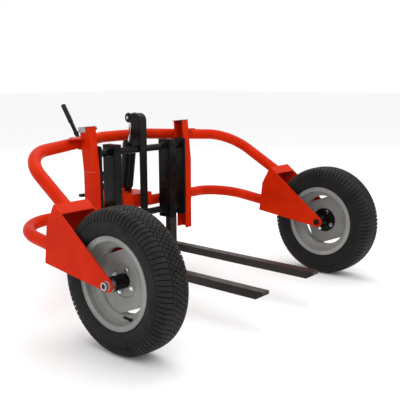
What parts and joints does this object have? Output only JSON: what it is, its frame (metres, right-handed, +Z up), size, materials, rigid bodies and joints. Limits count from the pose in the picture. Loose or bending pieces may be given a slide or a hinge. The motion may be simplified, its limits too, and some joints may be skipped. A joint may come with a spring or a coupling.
{
  "type": "pallet fork truck",
  "caption": "Rough-terrain hand pallet truck: sliding forks on a jack-lifted carriage, tube arch frame, large pneumatic front wheels and a steered rear fork.",
  "frame": {"origin": "middle of the whole truck at floor level: middle of the width, halfway between the front of the front tyres and the end of the handle", "axes": "+X to the right, +Y to the rear (the forks point along -Y), +Z up"},
  "size_m": [1.67, 1.5748, 0.8951],
  "materials": {
    "orange_paint": "gloss",
    "black_paint": "gloss",
    "silver_paint": "satin",
    "tyre": "matte",
    "zinc": "satin",
    "chrome": "polished",
    "bronze": "satin",
    "grip_rubber": "matte"
  },
  "bodies": {
    "frame": {"upper_arch_tube": "orange_paint", "lower_arch_tube": "orange_paint", "mast_column_left": "orange_paint", "mast_column_right": "orange_paint", "column_top_plates": "zinc", "mast_gussets": "orange_paint", "jack_base_bracket": "orange_paint", "steer_housing": "orange_paint", "steer_bushes": "bronze", "jack_base_pin": "zinc", "wheel_axle_bolts": "black_paint", "axle_hardware": "zinc", "yoke_side_plates_left": "orange_paint", "yoke_side_plates_right": "orange_paint", "yoke_back_plate_left": "orange_paint", "yoke_back_plate_right": "orange_paint"},
    "carriage": {"carriage_upper_bar": "black_paint", "carriage_lower_bar": "black_paint", "carriage_side_plate_left": "black_paint", "carriage_side_plate_right": "black_paint", "roller_stub_axles": "zinc", "hook_strap": "black_paint", "hook_cheeks": "black_paint", "hook_pin": "zinc"},
    "jack": {"jack_cylinder": "black_paint", "jack_gland": "black_paint"},
    "jack_rod_body": {"jack_rod": "chrome"},
    "steer_head": {"steer_fork": "black_paint", "rear_axle": "zinc", "handle_pin": "zinc"},
    "handle": {"handle_socket": "black_paint", "handle_bar": "black_paint", "handle_grip": "grip_rubber"},
    "plunger": {"pump_plunger": "zinc"},
    "pedal": {"release_pedal": "black_paint"},
    "front_wheel_left": {"front_tyre_left": "tyre", "front_rim_left": "silver_paint", "front_hub_left": "black_paint", "hub_fasteners_left": "zinc", "hub_bearings_left": "zinc"},
    "rear_wheel_left": {"rear_tyre_left": "tyre", "rear_rim_left": "silver_paint"},
    "fork_slide_left": {"fork_left": "black_paint", "fork_carrier_left": "black_paint", "fork_bushes_left": "bronze"},
    "roller_upper_left": {"guide_roller_upper_left": "zinc"},
    "roller_lower_left": {"guide_roller_lower_left": "zinc"},
    "front_wheel_right": {"front_tyre_right": "tyre", "front_rim_right": "silver_paint", "front_hub_right": "black_paint", "hub_fasteners_right": "zinc", "hub_bearings_right": "zinc"},
    "rear_wheel_right": {"rear_tyre_right": "tyre", "rear_rim_right": "silver_paint"},
    "fork_slide_right": {"fork_right": "black_paint", "fork_carrier_right": "black_paint", "fork_bushes_right": "bronze"},
    "roller_upper_right": {"guide_roller_upper_right": "zinc"},
    "roller_lower_right": {"guide_roller_lower_right": "zinc"}
  },
  "joints": [
    {"name": "front_wheel_left_spin", "type": "hinge", "parent": "frame", "child": "front_wheel_left", "pos_m": [-0.729, -0.50343, 0.284], "axis": [1, 0, 0], "continuous": true},
    {"name": "front_wheel_right_spin", "type": "hinge", "parent": "frame", "child": "front_wheel_right", "pos_m": [0.729, -0.50343, 0.284], "axis": [1, 0, 0], "continuous": true},
    {"name": "carriage_lift", "type": "slide", "parent": "frame", "child": "carriage", "axis": [0, 0, 1], "range_m": [-0.09, 0.075]},
    {"name": "fork_left_width", "type": "slide", "parent": "carriage", "child": "fork_slide_left", "axis": [-1, 0, 0], "range_m": [-0.065, 0.043]},
    {"name": "fork_right_width", "type": "slide", "parent": "carriage", "child": "fork_slide_right", "axis": [1, 0, 0], "range_m": [-0.065, 0.043]},
    {"name": "roller_upper_left_spin", "type": "hinge", "parent": "carriage", "child": "roller_upper_left", "pos_m": [-0.32, 0.16207, 0.69], "axis": [1, 0, 0], "range_deg": [-305, 254]},
    {"name": "roller_upper_right_spin", "type": "hinge", "parent": "carriage", "child": "roller_upper_right", "pos_m": [0.32, 0.16207, 0.69], "axis": [1, 0, 0], "range_deg": [-305, 254]},
    {"name": "roller_lower_left_spin", "type": "hinge", "parent": "carriage", "child": "roller_lower_left", "pos_m": [-0.32, 0.15357, 0.346], "axis": [1, 0, 0], "range_deg": [-181, 216]},
    {"name": "roller_lower_right_spin", "type": "hinge", "parent": "carriage", "child": "roller_lower_right", "pos_m": [0.32, 0.15357, 0.346], "axis": [1, 0, 0], "range_deg": [-181, 216]},
    {"name": "jack_rock", "type": "hinge", "parent": "frame", "child": "jack", "pos_m": [0, 0.27157, 0.462], "axis": [1, 0, 0], "range_deg": [-1.8, 2.1]},
    {"name": "jack_rod_slide", "type": "slide", "parent": "jack", "child": "jack_rod_body", "axis": [0, -0.1473, 0.9891], "range_m": [-0.0895, 0.0745]},
    {"name": "steering", "type": "hinge", "parent": "frame", "child": "steer_head", "pos_m": [0, 0.42657, 0.4], "axis": [0, 0, 1], "range_deg": [-75, 75]},
    {"name": "rear_wheel_left_spin", "type": "hinge", "parent": "steer_head", "child": "rear_wheel_left", "pos_m": [-0.0775, 0.42657, 0.175], "axis": [1, 0, 0], "continuous": true},
    {"name": "rear_wheel_right_spin", "type": "hinge", "parent": "steer_head", "child": "rear_wheel_right", "pos_m": [0.0775, 0.42657, 0.175], "axis": [1, 0, 0], "continuous": true},
    {"name": "handle_tilt", "type": "hinge", "parent": "steer_head", "child": "handle", "pos_m": [0, 0.40257, 0.489], "axis": [1, 0, 0], "range_deg": [-35, 35]},
    {"name": "pump_stroke", "type": "slide", "parent": "steer_head", "child": "plunger", "axis": [0, 0, 1], "range_m": [-0.014, 0.014]},
    {"name": "release_pedal_press", "type": "hinge", "parent": "steer_head", "child": "pedal", "pos_m": [-0.055, 0.45257, 0.457], "axis": [1, 0, 0], "range_deg": [-12, 0], "stiffness_Nm_per_rad": 30, "springref_deg": 2.86}
  ],
  "couplings": [
    {"joint": "roller_upper_left_spin", "follows": "carriage_lift", "rad_per_m": 58.824},
    {"joint": "roller_upper_right_spin", "follows": "carriage_lift", "rad_per_m": 58.824},
    {"joint": "roller_lower_left_spin", "follows": "carriage_lift", "rad_per_m": -41.667},
    {"joint": "roller_lower_right_spin", "follows": "carriage_lift", "rad_per_m": -41.667},
    {"joint": "jack_rock", "follows": "carriage_lift", "rad_per_m": -0.40143},
    {"joint": "jack_rod_slide", "follows": "carriage_lift", "ratio": 0.988},
    {"joint": "pump_stroke", "follows": "handle_tilt", "m_per_rad": 0.0225}
  ]
}
